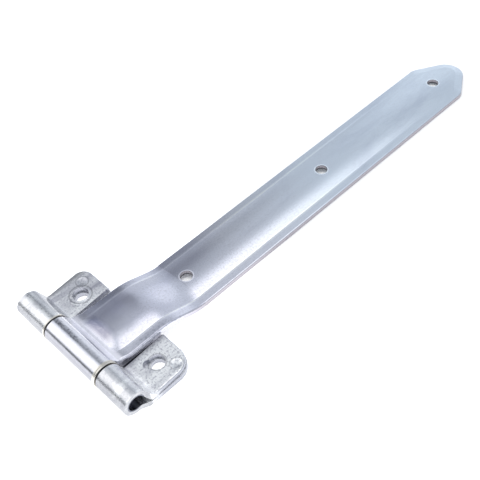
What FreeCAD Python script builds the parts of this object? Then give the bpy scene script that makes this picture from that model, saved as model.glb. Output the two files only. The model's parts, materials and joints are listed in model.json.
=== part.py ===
import FreeCAD, Part
import math
import os

# Bent strap hinge for a vehicle rear door, lying closed with the strap folded over the frame leaf.
# Y runs along the hinge pin, X runs from the pin to the strap tip, Z points up.
# The shapes are drawn with the pin over X = 0 and then moved so that the origin is the midpoint
# of the two frame leaf bolt holes, on the flat that both leaves bolt to.

# Sheet, pin and barrel
sheet = 3.2
pin_r = 5.0
leaf_bore_gap = 0.02
strap_bore_gap = 0.05
pin_height = 12.6
barrel_half = 51.4
pin_far_recess = 3.0
pin_near_recess = 6.0
pin_chamfer = 1.0

# Strap: raised rim height over the leaf, crank, straight blade and tongue tip
strap_half = 22.5
strap_offset = -0.9
strap_lift = 8.1
crank_start = 41.5
crank_end = 77.0
tip_x = 362.0
nose_r = 13.0
taper_deg = 32.0
shoulder_r = 10.0
edge_round = 0.9
edge_bow = 0.28
join_overlap = 1.0
join_slim = 0.08
join_from = 62.0

# Cross-section of the strap, heights over the top of the outer rim
rim_width = 6.0
rim_rise = 0.6
crown_rise = 3.0
crown_tip_rise = 1.1
crown_fade = 130.0

# Root of the strap, where the sheet leaves the rolled eye
root_lift = 0.8
root_x = 12.0
formed_x = 19.0
eye_leave_deg = 35.0
eye_end_deg = -32.0
root_bend_r = 1.8

# Strap holes, bolts of 8 mm
strap_hole_r = 4.2
strap_hole_count = 3
first_hole_from_crank = 4.0
last_hole_from_tip = 29.5

# Frame leaf
leaf_x = 42.4
near_corner_r = 12.0
far_corner_r = 7.5
layer_gap = 0.2
top_skew = 0.055
top_fan = 0.02
notch_x = 11.5
leaf_leave_deg = 25.0
leaf_bend_r = 1.6
joggle_start = 2.6
joggle_end = 9.6
joggle_back = 1.2
joggle_r = 2.2
shoulder_past_roll = 6.0
roll_edge_r = 1.2
leaf_hole_r = 4.5
leaf_hole_x = 27.0
leaf_hole_y = 36.5
top_hole_r = 5.1
top_hole_shift = 0.6
lobe_r = 3.3
lobe_shift = (-4.5, 2.4)
lobe_collar_r = 4.4
collar_r = 6.2
collar_rise = 0.5
weld_x = 34.0
weld_from_side = 6.5
weld_r = 3.4
weld_depth = 0.45

# Washers between the knuckles, one on the far side and two on the near side
washer_t = 1.2
washer_r = 8.6
washer_chamfer = 0.2
washer_seat = 0.05
far_play = 1.1
near_play = 1.2
far_tab_step = 0.9
near_tab_step = 0.8

leaf_bore = pin_r + leaf_bore_gap
strap_bore = pin_r + strap_bore_gap
roll_r = leaf_bore + sheet
top_layer_z = sheet + layer_gap
leaf_top = top_layer_z + sheet
notch_far = strap_half + far_play + washer_t + washer_seat
notch_near = -strap_half - near_play - 2 * (washer_t + washer_seat)
hole_first = crank_end + first_hole_from_crank
hole_pitch = (tip_x - last_hole_from_tip - hole_first) / (strap_hole_count - 1)
weld_y = barrel_half - weld_from_side


def vec(x, y, z):
    return FreeCAD.Vector(x, y, z)


def polar(radius, deg, zc):
    a = math.radians(deg)
    return (radius * math.cos(a), zc + radius * math.sin(a))


def rounded_path(points, radii):
    # Lines and arcs through 2D points; each inner corner gets its own radius.
    parts = []
    here = points[0]
    for i in range(1, len(points) - 1):
        a, b, c = points[i - 1], points[i], points[i + 1]
        u = FreeCAD.Vector(a[0] - b[0], a[1] - b[1], 0).normalize()
        v = FreeCAD.Vector(c[0] - b[0], c[1] - b[1], 0).normalize()
        half = u.getAngle(v) / 2
        r = radii[i - 1]
        if r <= 0:
            parts.append(("line", here, b))
            here = b
            continue
        reach = r / math.tan(half)
        p = (b[0] + u.x * reach, b[1] + u.y * reach)
        q = (b[0] + v.x * reach, b[1] + v.y * reach)
        w = (u + v).normalize()
        dist = r / math.sin(half) - r
        m = (b[0] + w.x * dist, b[1] + w.y * dist)
        if math.dist(here, p) > 1e-6:
            parts.append(("line", here, p))
        parts.append(("arc", p, m, q))
        here = q
    if math.dist(here, points[-1]) > 1e-6:
        parts.append(("line", here, points[-1]))
    return parts


def to_edges(parts, place):
    edges = []
    for item in parts:
        pts = [place(*p) for p in item[1:]]
        if item[0] == "line":
            edges.append(Part.makeLine(pts[0], pts[1]))
        else:
            edges.append(Part.Arc(pts[0], pts[1], pts[2]).toShape())
    return edges


def side_face(parts):
    return Part.Face(Part.Wire(to_edges(parts, lambda x, z: vec(x, 0, z))))


def along_y(face, y0, y1):
    solid = face.copy()
    solid.translate(vec(0, y0, 0))
    return solid.extrude(vec(0, y1 - y0, 0))


def drum(x, y, z0, z1, r):
    return Part.makeCylinder(r, z1 - z0, vec(x, y, z0))


def sheet_roll(bore, leave_deg, end_deg, top_z, bend_r, end_x):
    # Sheet that comes in level at top_z, bends up and rolls round the pin to end_deg.
    outer = bore + sheet
    lean = math.radians(leave_deg)
    ox, oz = polar(outer, leave_deg, pin_height)
    ix, iz = polar(bore, leave_deg, pin_height)
    slope = (math.sin(lean), -math.cos(lean))
    run = (oz - top_z) / -slope[1]
    corner_o = (ox + slope[0] * run, top_z)
    run = (iz - (top_z - sheet)) / -slope[1]
    corner_i = (ix + slope[0] * run, top_z - sheet)
    mid = (leave_deg + 360 + end_deg) / 2
    parts = rounded_path([(end_x, top_z), corner_o, (ox, oz)], [bend_r])
    parts.append(("arc", (ox, oz), polar(outer, mid, pin_height), polar(outer, end_deg, pin_height)))
    parts.append(("line", polar(outer, end_deg, pin_height), polar(bore, end_deg, pin_height)))
    parts.append(("arc", polar(bore, end_deg, pin_height), polar(bore, mid, pin_height), (ix, iz)))
    parts += rounded_path([(ix, iz), corner_i, (end_x, top_z - sheet)], [bend_r + sheet])
    parts.append(("line", (end_x, top_z - sheet), (end_x, top_z)))
    return side_face(parts)


def hinge_pin():
    near = pin_near_recess - barrel_half
    far = barrel_half - pin_far_recess
    rod = Part.makeCylinder(pin_r, far - near, vec(0, near, pin_height), vec(0, 1, 0))
    return rod.makeChamfer(pin_chamfer, [e for e in rod.Edges if e.Curve.TypeId == "Part::GeomCircle"])


def washer(y0):
    axis = vec(0, 1, 0)
    ring = Part.makeCylinder(washer_r, washer_t, vec(0, y0, pin_height), axis)
    ring = ring.makeChamfer(washer_chamfer, [e for e in ring.Edges if e.Curve.TypeId == "Part::GeomCircle"])
    return ring.cut(Part.makeCylinder(strap_bore, washer_t, vec(0, y0, pin_height), axis))


# Frame leaf: one sheet folded back on itself round the pin, with a notch for the strap

def skew(x, y):
    # The upper layer is folded over slightly askew, so its sides lean towards +Y.
    return (top_skew + top_fan * y / barrel_half) * (x - leaf_bore)


def flat_face(points, radii):
    edges = to_edges(rounded_path(points, radii), lambda x, y: vec(x, y, 0))
    return Part.Face(Part.Wire(edges))


def leaf_outline(lean):
    # Plan of one layer; lean is 1 for the skewed upper layer and 0 for the lower one.
    half = barrel_half
    back = -20
    corners = ((back, -half), (leaf_x, -half), (leaf_x, half), (back, half))
    pts = [(x, lean * skew(x, y) + y) for x, y in corners]
    return flat_face(pts + pts[:1], [near_corner_r, far_corner_r, 0])


def notch_outline():
    # Plan of the gap in the roll and the upper layer, which follows the skewed layer.
    far = leaf_x + 10
    near_tab = notch_near + near_tab_step
    far_tab = notch_far + far_tab_step
    pts = [(-30, notch_near), (leaf_bore, notch_near), (notch_x, near_tab + skew(notch_x, near_tab))]
    pts += [(far, near_tab + skew(far, near_tab)), (far, far_tab + skew(far, far_tab))]
    pts += [(notch_x, far_tab + skew(notch_x, far_tab)), (leaf_bore, notch_far), (-30, notch_far)]
    return flat_face(pts + pts[:1], [0] * 7)


def prism(face, z0, z1):
    body = face.copy()
    body.translate(vec(0, 0, z0))
    return body.extrude(vec(0, 0, z1 - z0))


def rounded_top_layer():
    # Plate part of the upper layer with its die-rolled upper edge.
    plate = prism(leaf_outline(1), top_layer_z, leaf_top)
    edges = []
    for e in plate.Edges:
        box = e.BoundBox
        if box.ZMin > leaf_top - 0.01 and box.XMax > 0:
            edges.append(e)
    return plate.makeFillet(roll_edge_r, edges)


def lower_layer():
    # Flat lower layer that steps up to become the underside of the roll.
    rise = pin_height - roll_r
    upper = [(0, rise + sheet), (joggle_start, rise + sheet), (joggle_end, sheet), (leaf_x, sheet)]
    lower = [(leaf_x, 0), (joggle_end - joggle_back, 0), (joggle_start - joggle_back, rise), (0, rise)]
    parts = rounded_path(upper, [joggle_r + sheet, joggle_r])
    parts.append(("line", (leaf_x, sheet), (leaf_x, 0)))
    parts += rounded_path(lower, [joggle_r + sheet, joggle_r])
    parts.append(("line", (0, rise), (0, rise + sheet)))
    layer = along_y(side_face(parts), -barrel_half, barrel_half)
    return layer.common(prism(leaf_outline(0), -1, 30))


def upper_layer():
    # Roll round the pin that runs out into the flat upper layer, split by the strap's gap.
    strip = sheet_roll(leaf_bore, leaf_leave_deg, -90, leaf_top, leaf_bend_r, leaf_x + 5)
    roll = along_y(strip, -barrel_half, barrel_half)
    shoulder_x = roll_r + shoulder_past_roll
    reach = Part.makeBox(shoulder_x + 20, 2 * barrel_half, 40, vec(-20, -barrel_half, -5))
    wide = along_y(strip, -barrel_half - 5, barrel_half + 5)
    past_shoulder = Part.makeBox(60, 3 * barrel_half, 20, vec(shoulder_x, -1.5 * barrel_half, 0))
    flat = wide.common(rounded_top_layer().common(past_shoulder))
    layer = roll.common(reach).fuse(flat)
    return layer.cut(prism(notch_outline(), top_layer_z - layer_gap / 2, 40))


def weld_places():
    return [(weld_x, s * weld_y) for s in (1, -1)]


def collar(x, y, r):
    # Low ring of raised metal with a sloping rim.
    base = leaf_top - 0.5
    disc = Part.makeCylinder(r, 0.5, vec(x, y, base))
    return disc.fuse(Part.makeCone(r, r - 1.5 * collar_rise, collar_rise, vec(x, y, leaf_top)))


def frame_leaf():
    leaf = lower_layer().fuse(upper_layer())
    notch_w = notch_far - notch_near
    leaf = leaf.cut(Part.makeBox(30 + notch_x, notch_w, 40, vec(-30, notch_near, -5)))
    leaf = leaf.fuse([drum(x, y, sheet - 0.1, top_layer_z + 0.1, weld_r) for x, y in weld_places()])
    lobe_x = leaf_hole_x + lobe_shift[0]
    far_y = top_hole_shift + leaf_hole_y
    near_y = top_hole_shift - leaf_hole_y
    ring = collar(leaf_hole_x, far_y, collar_r)
    leaf = leaf.fuse([ring, collar(lobe_x, far_y - lobe_shift[1], lobe_collar_r)])
    cuts = [drum(lobe_x, near_y + lobe_shift[1], top_layer_z - layer_gap / 2, 10, lobe_r)]
    for y in (far_y, near_y):
        cuts.append(drum(leaf_hole_x, y, top_layer_z - layer_gap / 2, 10, top_hole_r))
        cuts.append(drum(leaf_hole_x, y - top_hole_shift, -1, 10, leaf_hole_r))
    ball_r = (weld_r ** 2 + weld_depth ** 2) / (2 * weld_depth)
    for x, y in weld_places():
        cuts.append(Part.makeSphere(ball_r, vec(x, y, leaf_top + ball_r - weld_depth)))
    return leaf.cut(cuts).removeSplitter()


# Strap: rolled eye, cranked root, ribbed blade and tongue tip

def drop(x):
    # Height of the underside of the rim above the mounting flat.
    if x <= crank_start:
        return strap_lift
    if x >= crank_end:
        return 0.0
    return strap_lift * 0.5 * (1 + math.cos(math.pi * (x - crank_start) / (crank_end - crank_start)))


def thick(x):
    step = 0.5
    slope = (drop(x + step) - drop(x - step)) / (2 * step)
    return sheet * math.sqrt(1 + slope * slope)


def formed(x):
    # 0 at the flat root, 1 where the cross-section is fully formed.
    s = min(max((x - root_x) / (formed_x - root_x), 0.0), 1.0)
    return s * s * (3 - 2 * s)


def section_points(x):
    k = formed(x)
    flat = drop(x) + thick(x) + (1 - k) * root_lift
    top = [(strap_half, flat), (strap_half - rim_width, flat + k * rim_rise)]
    return top, flat + k * crown_rise


def section_wire(x):
    top, crown = section_points(x)
    t = thick(x)
    if x > join_from:
        # The last sections slip just inside the blade that they run into.
        slim = join_slim * (x - join_from) / (crank_end - join_from)
        top = [(y - slim, z - slim) for y, z in top]
        crown -= slim
        t -= 2 * slim
    e = edge_round
    sway = strap_offset * formed(x)
    edges = []

    def at(y, z):
        return vec(x, y + sway, z)

    def bow(a, b, lift):
        if abs(lift) < 1e-6:
            return Part.makeLine(at(*a), at(*b))
        mid = ((a[0] + b[0]) / 2, (a[1] + b[1]) / 2 + lift)
        return Part.Arc(at(*a), at(*mid), at(*b)).toShape()

    (ye, ze), (y1, z1) = top
    tilt = (z1 - ze) / (ye - y1)
    inner = (ye - e, ze + tilt * e)
    edges.append(Part.makeLine(at(-y1, z1), at(-inner[0], inner[1])))
    edges.append(bow((-inner[0], inner[1]), (-ye, ze - e), edge_bow * e))
    edges.append(Part.makeLine(at(-ye, ze - e), at(-ye, ze - t)))
    edges.append(Part.makeLine(at(-ye, ze - t), at(-y1, z1 - t)))
    edges.append(bow((-y1, z1 - t), (y1, z1 - t), crown - z1))
    edges.append(Part.makeLine(at(y1, z1 - t), at(ye, ze - t)))
    edges.append(Part.makeLine(at(ye, ze - t), at(ye, ze - e)))
    edges.append(bow((ye, ze - e), inner, edge_bow * e))
    edges.append(Part.makeLine(at(*inner), at(y1, z1)))
    edges.append(bow((y1, z1), (-y1, z1), crown - z1))
    return Part.Wire(edges)


def tongue(inset):
    # Plan outline of the blade and tip, moved inwards by inset.
    half = strap_half - inset
    r = nose_r - inset
    cx = tip_x - nose_r
    a = math.radians(90 - taper_deg)
    tx, ty = cx + r * math.cos(a), r * math.sin(a)
    sx = tx - (half - ty) / math.tan(math.radians(taper_deg))
    x0 = crank_end - join_overlap
    side = rounded_path([(x0, half), (sx, half), (tx, ty)], [shoulder_r])
    back = rounded_path([(tx, -ty), (sx, -half), (x0, -half)], [shoulder_r])
    nose = [("arc", (tx, ty), (cx + r, 0), (tx, -ty))]
    return side + nose + back + [("line", (x0, -half), (x0, half))]


def tongue_wire(inset, z):
    return Part.Wire(to_edges(tongue(inset), lambda x, y: vec(x, y, z)))


def crown_height(x):
    # Full height of the crowned panel, which fades towards the tip.
    k = min(max((tip_x - x) / crown_fade, 0.0), 1.0)
    return crown_tip_rise + (crown_rise - crown_tip_rise) * math.sin(k * math.pi / 2)


def crown_wire(x, z):
    y1 = strap_half - rim_width
    low = z + rim_rise
    ends = (vec(x, y1, low), vec(x, -y1, low))
    feet = (vec(x, -y1, low - 1), vec(x, y1, low - 1))
    arc = Part.Arc(ends[0], vec(x, 0, z + crown_height(x)), ends[1]).toShape()
    sides = [Part.makeLine(ends[1], feet[0]), Part.makeLine(*feet), Part.makeLine(feet[1], ends[0])]
    return Part.Wire([arc] + sides)


def blade_form(shift):
    # Solid under the upper surface of the blade, lowered by shift.
    z = sheet - shift
    base = Part.Face(tongue_wire(0, z - 12)).extrude(vec(0, 0, 12))
    rim = Part.makeLoft([tongue_wire(0, z), tongue_wire(rim_width, z + rim_rise)], True, True)
    x0 = crank_end - join_overlap
    fade_x = tip_x - crown_fade
    inside = Part.Face(tongue_wire(rim_width, z + rim_rise - 1)).extrude(vec(0, 0, 6))
    straight = Part.Face(crown_wire(x0, z)).extrude(vec(fade_x - x0, 0, 0))
    steps = [fade_x + crown_fade * i / 6 for i in range(7)]
    fading = Part.makeLoft([crown_wire(x, z) for x in steps], True, False)
    return base.fuse([rim, straight.common(inside), fading.common(inside)])


def stations():
    # Places of the lofted sections: the root, the formed flat and the crank.
    places = []
    for a, b, n in ((root_x, formed_x, 4), (formed_x, crank_start, 3), (crank_start, crank_end, 11)):
        places += [a + (b - a) * i / n for i in range(n)]
    return places + [crank_end]


def strap():
    blade = blade_form(0).cut(blade_form(sheet))
    rim_edges = []
    for e in blade.Edges:
        box = e.BoundBox
        level = abs(box.ZMin - sheet) < 0.01 and abs(box.ZMax - sheet) < 0.01
        if level and box.XMax > crank_end + 1:
            rim_edges.append(e)
    blade = blade.makeFillet(edge_round, rim_edges)
    blade.translate(vec(0, strap_offset, 0))
    crank = Part.makeLoft([section_wire(x) for x in stations()], True, False)
    root_top = strap_lift + sheet + root_lift
    eye = along_y(sheet_roll(strap_bore, eye_leave_deg, eye_end_deg, root_top, root_bend_r, root_x),
                  -strap_half, strap_half)
    body = blade.fuse([crank, eye])
    holes = []
    for i in range(strap_hole_count):
        holes.append(drum(hole_first + i * hole_pitch, strap_offset, -5, 20, strap_hole_r))
    return body.cut(holes).removeSplitter()


nodes = {
    "strap": strap(),
    "frame_leaf": frame_leaf(),
    "hinge_pin": hinge_pin(),
    "washer_far": washer(notch_far - washer_seat - washer_t),
    "washer_near_inner": washer(-strap_half - 2 * washer_seat - washer_t),
    "washer_near_outer": washer(-strap_half - 3 * washer_seat - 2 * washer_t),
}

os.makedirs("parts", exist_ok=True)
for name, shape in nodes.items():
    shape.translate(vec(-leaf_hole_x, 0, 0))
    shape.exportStep("parts/" + name + ".step")
    box = shape.BoundBox
    print(name, shape.ShapeType, len(shape.Solids), shape.isValid(), round(shape.Volume, 1),
          [round(v, 2) for v in (box.XMin, box.XMax, box.YMin, box.YMax, box.ZMin, box.ZMax)])
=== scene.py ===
import json
import math
import bpy
from mathutils import Matrix, Vector


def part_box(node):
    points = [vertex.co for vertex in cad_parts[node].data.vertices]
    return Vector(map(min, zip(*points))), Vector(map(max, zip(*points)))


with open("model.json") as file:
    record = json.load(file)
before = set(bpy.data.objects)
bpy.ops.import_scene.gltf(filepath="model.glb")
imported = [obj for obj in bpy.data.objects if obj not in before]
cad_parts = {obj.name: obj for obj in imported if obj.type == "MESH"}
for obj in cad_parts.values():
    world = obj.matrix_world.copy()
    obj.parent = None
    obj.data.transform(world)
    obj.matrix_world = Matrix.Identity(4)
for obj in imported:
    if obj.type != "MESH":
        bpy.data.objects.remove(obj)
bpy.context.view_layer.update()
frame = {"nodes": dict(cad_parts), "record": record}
nodes = frame["nodes"]
scene = bpy.context.scene

# Places on the hinge, in metres, in the frame that all its pieces share. Those that end in reach are
# distances from the pin's axis towards the strap's tip.

pin_low, pin_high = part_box("hinge_pin")
pin_x = (pin_low[0] + pin_high[0]) / 2
pin_z = (pin_low[2] + pin_high[2]) / 2
bore_radius = 0.0058
barrel_reach = 0.0095
leaf_reach = 0.0105
notch_wall = -0.0218
mid_sheet = 0.0015
mounts = {mount["name"]: mount for mount in frame["record"]["mounts"]}
leaf_hole_y = mounts["frame_bolts"]["dims"]["spacing_y_mm"] / 2000
upper_layer_shift = 0.0006
door_bolts = mounts["door_bolts"]
strap_middle = door_bolts["pos_m"][1]
hole_pitch = door_bolts["dims"]["spacing_x_mm"] / 2000
strap_holes = [door_bolts["pos_m"][0] + side * hole_pitch for side in (-1, 0, 1)]
hole_radius = door_bolts["dims"]["hole_r_mm"] / 1000
first_hole_reach = strap_holes[0] - pin_x


def rgb(r, g, b):
    # A colour as a picture shows it, 0 to 255, turned into Blender's linear values.
    def lin(v):
        v = v / 255
        return v / 12.92 if v <= 0.04045 else ((v + 0.055) / 1.055) ** 2.4
    return (lin(r), lin(g), lin(b), 1)


# Colours of the marks, most of them painted shade

white = (1, 1, 1, 1)
fold_shade = rgb(150, 150, 166)
violet_shade = rgb(104, 110, 150)
rising_rim_shade = rgb(120, 124, 140)
far_barrel_tone = rgb(160, 162, 172)
far_knuckle_shade = rgb(120, 124, 136)
barrel_shade = rgb(92, 94, 106)
outline_shade = rgb(84, 86, 98)
bore_shade = rgb(56, 64, 86)
leaf_shade_colour = rgb(48, 50, 62)
hole_wall_shade = rgb(40, 44, 54)


# Node trees

class Tree:
    # Short calls for a material's or a world's nodes. A value is a number or another node's output.
    def __init__(self, owner):
        owner.use_nodes = True
        self.t = owner.node_tree
        self.t.nodes.clear()

    def feed(self, socket, value):
        if isinstance(value, bpy.types.NodeSocket):
            self.t.links.new(value, socket)
        else:
            socket.default_value = value

    def add(self, kind, inputs=None, **props):
        node = self.t.nodes.new(kind)
        for key, value in props.items():
            setattr(node, key, value)
        for key, value in (inputs or {}).items():
            self.feed(node.inputs[key], value)
        return node

    def math(self, op, a, b=0.0, c=None, clamp=False):
        inputs = {0: a, 1: b}
        if c is not None:
            inputs[2] = c
        return self.add("ShaderNodeMath", inputs, operation=op, use_clamp=clamp).outputs[0]

    def times(self, first, *others):
        for other in others:
            first = self.math("MULTIPLY", first, other)
        return first

    def mix(self, factor, a, b, blend="MIX"):
        inputs = {0: factor, 6: a, 7: b}
        return self.add("ShaderNodeMix", inputs, data_type="RGBA", blend_type=blend).outputs[2]

    def split(self, vector):
        return self.add("ShaderNodeSeparateXYZ", {0: vector}).outputs

    def noise(self, scale, detail=2.0, rough=0.5, vector=None, distortion=0.0):
        inputs = {"Scale": scale, "Detail": detail, "Roughness": rough, "Distortion": distortion}
        if vector is not None:
            inputs["Vector"] = vector
        return self.add("ShaderNodeTexNoise", inputs).outputs[0]

    def fade(self, value, low, high, start=0.0, end=1.0, smooth=False):
        # From start, where the value is low, to end, where it is high, and no further.
        kind = "SMOOTHSTEP" if smooth else "LINEAR"
        inputs = {0: value, 1: low, 2: high, 3: start, 4: end}
        return self.add("ShaderNodeMapRange", inputs, interpolation_type=kind).outputs[0]

    def band(self, value, start, full, fading, gone):
        # 0 up to start, 1 from full to fading, 0 again from gone.
        return self.times(self.fade(value, start, full), self.fade(value, fading, gone, 1.0, 0.0))

    def off(self, value, middle):
        return self.math("ABSOLUTE", self.math("SUBTRACT", value, middle))

    def distance(self, parts, centre):
        # Distance from centre, over the axes that parts names.
        spot = self.add("ShaderNodeCombineXYZ", parts).outputs[0]
        return self.add("ShaderNodeVectorMath", {0: spot, 1: centre}, operation="DISTANCE").outputs[1]


# Metals

class Metal:
    # A metal's material with marks painted one over another; base is its colour so far.
    def __init__(self, name, light, dark):
        # Cloudy from dark to light, and a little lighter on the barrel.
        self.material = bpy.data.materials.new(name)
        self.t = t = Tree(self.material)
        spot = t.add("ShaderNodeTexCoord").outputs
        self.x, self.y, self.z = t.split(spot["Object"])
        self.along = t.math("SUBTRACT", self.x, pin_x)
        self.facing_x, self.facing_y, self.facing_z = t.split(spot["Normal"])
        stretched = t.add("ShaderNodeMapping", {"Vector": spot["Object"], "Scale": (0.3, 1.0, 1.0)})
        cloud = t.noise(scale=60, detail=4, rough=0.6, vector=stretched.outputs[0], distortion=0.4)
        self.grain = t.noise(scale=760, detail=5, rough=0.7, vector=spot["Object"])
        self.spots = t.fade(self.grain, 0.5, 0.62)
        self.barrel = t.math("LESS_THAN", self.along, barrel_reach)
        tone = t.math("MAXIMUM", t.fade(cloud, 0.3, 0.55), t.times(self.barrel, 0.6))
        self.base = t.mix(tone, dark, light)

    def paint(self, colour, *masks, blend="MIX"):
        self.base = self.t.mix(self.t.times(*masks), self.base, colour, blend)

    def speckle(self, colour, strength):
        # Fine spots, weaker on the barrel and towards the strap's tip.
        t = self.t
        towards_tip = t.fade(self.along, 0.117, 0.187, strength, 0.3 * strength)
        self.paint(colour, self.spots, towards_tip, t.math("MULTIPLY_ADD", self.barrel, -0.55, 1.0))

    def finish(self, roughness, grain, level_roughness=0.0, matt_highlight=None):
        # level_roughness is added on level faces; the last argument says where the metal is turned matt
        # and pale, a painted highlight.
        t = self.t
        rough = t.math("MULTIPLY_ADD", self.grain, 0.16, roughness - 0.08)
        if level_roughness:
            rough = t.math("MULTIPLY_ADD", t.fade(self.facing_z, 0.985, 0.999), level_roughness, rough)
        metallic = 1.0 if matt_highlight is None else t.math("SUBTRACT", 1.0, matt_highlight)
        bump = t.add("ShaderNodeBump", {"Height": self.grain, "Strength": grain, "Distance": 0.0002})
        shader = t.add("ShaderNodeBsdfPrincipled", {
            "Base Color": self.base, "Metallic": metallic, "Roughness": rough, "Normal": bump.outputs[0]})
        t.add("ShaderNodeOutputMaterial", {"Surface": shader.outputs[0]})
        return self.material


def strap_drift(metal):
    # The plating's slow change of tint from the eye to the tip.
    stops = (
        (0.0, rgb(240, 240, 244)),
        (0.12, rgb(234, 234, 245)),
        (0.33, rgb(238, 240, 248)),
        (0.55, rgb(231, 240, 249)),
        (0.95, rgb(229, 240, 249)),
    )
    share = metal.t.fade(metal.along, -0.003, 0.367)
    tints = metal.t.add("ShaderNodeValToRGB", {0: share})
    elements = tints.color_ramp.elements
    while len(elements) < len(stops):
        elements.new(1.0)
    for element, (place, tint) in zip(elements, stops):
        element.position = place
        element.color = tint
    metal.paint(tints.outputs[0], 1.0, blend="MULTIPLY")


def strap_shade(metal):
    # Painted shade near the eye. The bend behind the eye first.
    t = metal.t
    bend = t.band(metal.along, 0.0125, 0.0155, 0.0185, 0.0229)
    inward = t.band(metal.y, -0.011, -0.004, 0.012, 0.016)
    metal.paint(fold_shade, bend, inward, 0.85)
    # Painted shade with a violet cast on the far half, on the crank and again round the first hole
    crank = (0.01, 0.02, 0.0366, 0.0495)
    round_hole = [first_hole_reach + step for step in (-0.0155, -0.0045, 0.014, 0.038)]
    for stretch, strength in ((crank, 0.43), (round_hole, 0.27)):
        far_half = t.fade(metal.y, -0.006, 0.009, 0.0, strength)
        metal.paint(violet_shade, t.band(metal.along, *stretch), far_half)
    # Painted shade on both rims, speckled, where the sheet rises from the eye
    rise = t.band(metal.along, 0.0192, 0.0303, 0.0377, 0.0599)
    far_rim = t.fade(metal.y, 0.0135, 0.0185, 0.0, 0.7)
    near_rim = t.fade(metal.y, -0.0185, -0.0205, 0.0, 0.5)
    speckled = t.math("MULTIPLY_ADD", metal.spots, 0.9, 0.6)
    metal.paint(rising_rim_shade, rise, t.math("ADD", far_rim, near_rim), speckled)


def strap_crease_highlight(metal):
    # A painted highlight along the crease between rim and panel.
    t = metal.t
    from_crease = t.off(t.off(metal.y, strap_middle), 0.0168)
    line = t.fade(from_crease, 0.0, 0.0014, 0.2, 0.0, smooth=True)
    metal.paint(white, line, t.band(metal.along, 0.0155, 0.0266, 0.182, 0.3115), blend="ADD")


def paint_barrel_shade(metal, tone_strength, outer_shade, stripe):
    # A darker far tone and painted shade on the barrel. stripe is the crown stripe's strength, near and
    # far.
    t = metal.t
    # A darker tone on the barrel, stronger towards its far end.
    metal.paint(far_barrel_tone, metal.barrel, t.fade(metal.y, -0.03, 0.03, 0.2 * tone_strength, tone_strength))
    # Painted shade on the far knuckle beside its crown, more at its end.
    inner_side = t.band(metal.along, 0.0025, 0.0055, 0.01, 0.012)
    whole = t.fade(metal.y, 0.025, 0.028, 0.0, 0.5)
    at_end = t.fade(metal.y, 0.034, 0.047, 0.0, 0.32)
    metal.paint(far_knuckle_shade, inner_side, t.math("ADD", whole, at_end))
    # Painted shade on the outer side and the near end faces, and a painted dark stripe on the crown,
    # speckled
    outer = t.fade(metal.facing_x, -0.55, -1.0, 0.0, outer_shade, smooth=True)
    lengthwise = t.fade(metal.y, -0.008, 0.008, *stripe)
    speckled = t.math("ADD", metal.spots, 0.45)
    upward = t.math("GREATER_THAN", metal.facing_z, 0.5)
    crown = t.times(t.band(metal.facing_x, -0.08, 0.04, 0.2, 0.44), lengthwise, speckled, upward)
    end_face = t.times(t.math("LESS_THAN", metal.facing_y, -0.8), 0.5)
    marks = t.math("MAXIMUM", end_face, t.math("MAXIMUM", outer, crown), clamp=True)
    metal.paint(barrel_shade, marks, metal.barrel)


def fold_highlight(metal):
    # A painted highlight on the fold beside the barrel, more of it towards the near end: the metal is
    # turned matt and pale there.
    t = metal.t
    fold = t.band(metal.along, 0.0063, 0.007, 0.013, 0.015)
    return t.times(fold, t.fade(metal.y, -0.01, 0.03, 0.5, 0.25))


def leaf_outline_shade(metal):
    # Painted shade: dark outlines round the two welds, the far hole's collar and the near hole; none on
    # the underside.
    t = metal.t
    above = t.math("GREATER_THAN", metal.z, mid_sheet)
    for x, y, radius, width, strength in (
        (0.007, 0.0449, 0.0041, 0.0008, 0.4),
        (0.007, -0.0449, 0.0041, 0.0008, 0.3),
        (0.0, upper_layer_shift + leaf_hole_y, 0.0072, 0.0009, 0.5),
        (0.0, upper_layer_shift - leaf_hole_y, 0.0056, 0.0007, 0.4),
    ):
        off = t.off(t.distance({0: metal.x, 1: metal.y}, (x, y, 0.0)), radius)
        metal.paint(outline_shade, t.fade(off, 0.0, width, strength, 0.0, smooth=True), above)


def leaf_shade(metal):
    # Painted shade in the bore, then along the notch's near wall and the leaf's far side.
    t = metal.t
    off_axis = t.distance({0: metal.x, 2: metal.z}, (pin_x, 0.0, pin_z))
    metal.paint(bore_shade, t.math("LESS_THAN", off_axis, bore_radius), 0.7)
    wall = t.times(t.band(metal.y, -0.024, -0.0239, notch_wall, notch_wall + 0.0006), 0.95)
    beside = t.times(t.fade(metal.y, -0.0285, -0.0245, 0.0, 0.4), t.math("LESS_THAN", metal.y, notch_wall))
    above = t.math("GREATER_THAN", metal.z, mid_sheet)
    far_side = t.fade(metal.y, 0.0485, 0.0515, 0.0, 0.6)
    shaded = t.math("MAXIMUM", t.times(t.math("MAXIMUM", wall, beside), above), far_side)
    metal.paint(leaf_shade_colour, shaded, t.math("GREATER_THAN", metal.along, leaf_reach))


def sheared_edges(metal, colour, start, full):
    # Upright faces past the barrel are duller than the rolled surfaces.
    upright = metal.t.fade(metal.t.math("ABSOLUTE", metal.facing_z), 0.9, 0.5)
    metal.paint(colour, upright, metal.t.fade(metal.along, start, full))
    return upright


def shade_hole_walls(metal, upright):
    # Painted shade low and high on the walls of the strap's holes; the last hole lies lower.
    t = metal.t
    in_hole = t.math("LESS_THAN", t.off(metal.y, strap_middle), hole_radius + 0.0013)
    past_crank = t.math("GREATER_THAN", metal.along, first_hole_reach - 0.009)
    at_last_hole = t.math("GREATER_THAN", metal.x, strap_holes[2] - 0.0655)
    height = t.math("MULTIPLY_ADD", at_last_hole, 0.00115, metal.z)
    low_part = t.fade(height, 0.0037, 0.0043, 1.0, 0.0)
    high_part = t.fade(height, 0.0057, 0.006, 0.0, 0.7)
    metal.paint(hole_wall_shade, upright, in_hole, past_crank, t.math("ADD", low_part, high_part), 0.9)


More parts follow.
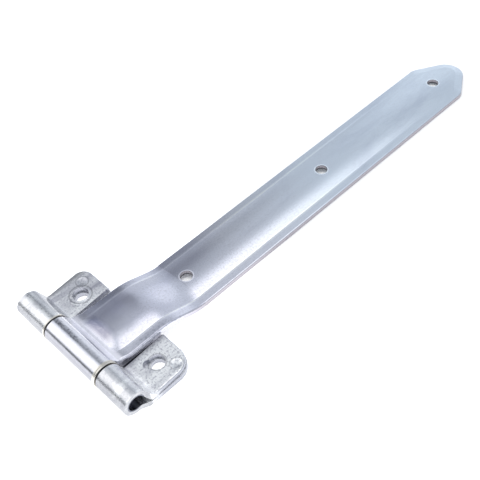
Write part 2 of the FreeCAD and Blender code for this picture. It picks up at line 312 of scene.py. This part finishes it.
def hole_rim_highlights(metal, matt_highlight):
    # A painted highlight round the holes' edges: the metal is turned matt and pale there.
    t = metal.t
    for x in strap_holes:
        away = t.distance({0: metal.x, 1: metal.y}, (x, strap_middle, 0.0))
        rim = t.fade(t.off(away, hole_radius + 0.0003), 0.0003, 0.0007, 0.36, 0.0)
        matt_highlight = t.math("MAXIMUM", matt_highlight, rim)
    return matt_highlight


def strap_zinc():
    metal = Metal("zinc_strap", rgb(250, 250, 252), rgb(236, 236, 241))
    strap_drift(metal)
    strap_shade(metal)
    strap_crease_highlight(metal)
    metal.speckle(rgb(196, 196, 206), 0.38)
    paint_barrel_shade(metal, tone_strength=0.06, outer_shade=0.6, stripe=(0.27, 0.78))
    shade_hole_walls(metal, sheared_edges(metal, rgb(178, 173, 181), 0.047, 0.077))
    return metal.finish(roughness=0.22, grain=0.12, matt_highlight=hole_rim_highlights(metal, fold_highlight(metal)))


def leaf_zinc():
    metal = Metal("zinc_leaf", rgb(252, 253, 254), rgb(166, 166, 178))
    metal.speckle(rgb(160, 160, 172), 0.7)
    paint_barrel_shade(metal, tone_strength=0.22, outer_shade=0.62, stripe=(0.05, 0.4))
    leaf_outline_shade(metal)
    leaf_shade(metal)
    sheared_edges(metal, rgb(172, 174, 184), leaf_reach, 0.018)
    return metal.finish(roughness=0.27, grain=0.5, level_roughness=0.2, matt_highlight=fold_highlight(metal))


def plain_metal(name, light, dark, roughness):
    metal = Metal(name, light, dark)
    metal.speckle(dark, 0.4)
    return metal.finish(roughness, grain=0.3)


brass = plain_metal("brass_washer", rgb(236, 232, 224), rgb(192, 187, 177), 0.3)
finishes = {
    "strap": strap_zinc(),
    "frame_leaf": leaf_zinc(),
    "hinge_pin": plain_metal("steel_pin", rgb(110, 114, 126), rgb(80, 84, 96), 0.4),
    "washer_far": brass,
    "washer_near_inner": brass,
    "washer_near_outer": brass,
}
for name, material in finishes.items():
    nodes[name].data.materials.clear()
    nodes[name].data.materials.append(material)


# Floor, camera and light

def lay_floor(middle_x, size):
    # White paper. It glows a little round the leaf, so that it stays white there, but not under the strap.
    material = bpy.data.materials.new("floor_white")
    t = Tree(material)
    paper = t.mix(t.noise(scale=60, detail=3), (0.78, 0.78, 0.78, 1), (0.8, 0.8, 0.8, 1))
    bright, dim, distant = 0.6, 0.12, 0.1
    along, aside, _ = t.split(t.add("ShaderNodeTexCoord").outputs["Object"])
    overall = t.fade(along, 0.07 - middle_x, 0.13 - middle_x, bright, distant, smooth=True)
    beside_strap = t.fade(t.math("ABSOLUTE", aside), 0.014, 0.02, dim, bright)
    before_hole = t.fade(along, 0.03 - middle_x, 0.045 - middle_x, bright, dim)
    glow = t.math("MINIMUM", overall, t.math("MAXIMUM", beside_strap, before_hole))
    shader = t.add("ShaderNodeBsdfPrincipled", {
        "Base Color": paper, "Roughness": 0.8, "Emission Color": white, "Emission Strength": glow})
    t.add("ShaderNodeOutputMaterial", {"Surface": shader.outputs[0]})
    bpy.ops.mesh.primitive_plane_add(size=size, location=(middle_x, 0, 0))
    floor = bpy.context.object
    floor.name = "floor"
    floor.data.materials.append(material)


def place_camera(place, right, down, forward, focal_length):
    # The camera that was fitted to the photo: its place and its three directions.
    data = bpy.data.cameras.new("camera")
    data.lens = focal_length
    data.sensor_width = 36
    data.clip_start = 0.01
    data.clip_end = 50
    camera = bpy.data.objects.new("camera", data)
    scene.collection.objects.link(camera)
    turn = Matrix((Vector(right), -Vector(down), -Vector(forward))).transposed().to_4x4()
    camera.matrix_world = Matrix.Translation(place) @ turn
    scene.camera = camera


def hang_lamp(place, aim, size, power):
    data = bpy.data.lights.new("overhead", "AREA")
    data.shape = "RECTANGLE"
    data.size, data.size_y = size
    data.energy = power
    lamp = bpy.data.objects.new("overhead", data)
    scene.collection.objects.link(lamp)
    lamp.location = place
    lamp.visible_glossy = False
    lamp.rotation_euler = (Vector(aim) - Vector(place)).to_track_quat("-Z", "Y").to_euler()


def panel(t, ray, azimuth, elevation, inner, outer, level):
    # Round soft panel in the surroundings, full within inner and gone past outer, in degrees from its
    # middle. +X is azimuth 0, and a level below 0 darkens.
    a, e = math.radians(azimuth), math.radians(elevation)
    way = (math.cos(a) * math.cos(e), math.sin(a) * math.cos(e), math.sin(e))
    near = t.add("ShaderNodeVectorMath", {0: ray, 1: way}, operation="DOT_PRODUCT").outputs[1]
    gone, full = math.cos(math.radians(outer)), math.cos(math.radians(inner))
    return t.fade(near, gone, full, 0.0, level, smooth=True)


def build_studio():
    # Surroundings that the metal mirrors: an even glow with lighter and darker panels.
    world = bpy.data.worlds.new("studio")
    scene.world = world
    t = Tree(world)
    ray = t.add("ShaderNodeTexCoord").outputs["Generated"]
    glow = 0.68
    for azimuth, elevation, inner, outer, level in (
        (-10, 72, 8, 26, 0.75),
        (118, 40, 20, 42, 0.75),
        (80, 38, 8, 25, -0.42),
        (52, 60, 5, 16, -0.17),
        (28, 18, 10, 22, 0.34),
        (-80, 52, 15, 40, 0.4),
        (200, 20, 20, 60, -0.4),
    ):
        glow = t.math("ADD", panel(t, ray, azimuth, elevation, inner, outer, level), glow)
    # A low dark wall on the far left
    height = t.split(ray)[2]
    above_floor = t.fade(height, -0.02, 0.06, smooth=True)
    over_wall = t.fade(height, 0.2, 0.3, smooth=True)
    wall = t.times(panel(t, ray, 145, 8, 20, 60, 0.85), t.math("SUBTRACT", above_floor, over_wall))
    glow = t.math("MAXIMUM", t.math("SUBTRACT", glow, wall), 0.1)
    # Dim parts are bluish.
    tint = t.mix(t.fade(glow, 0.8, 1.4, smooth=True), (0.86, 0.92, 1.0, 1), white)
    back = t.add("ShaderNodeBackground", {"Color": tint, "Strength": glow})
    t.add("ShaderNodeOutputWorld", {"Surface": back.outputs[0]})


lay_floor(middle_x=0.15, size=12)
place_camera(
    place=(-0.12364, -0.2757, 0.39207),
    right=(0.709838, -0.699263, -0.084647),
    down=(-0.562453, -0.490363, -0.665728),
    forward=(0.42401, 0.520167, -0.741374),
    focal_length=60.891,
)
build_studio()
hang_lamp(place=(0.15, 0.1, 1.6), aim=(0.15, 0.05, 0), size=(0.7, 0.6), power=14)

scene.view_settings.view_transform = "Standard"
scene.view_settings.look = "None"
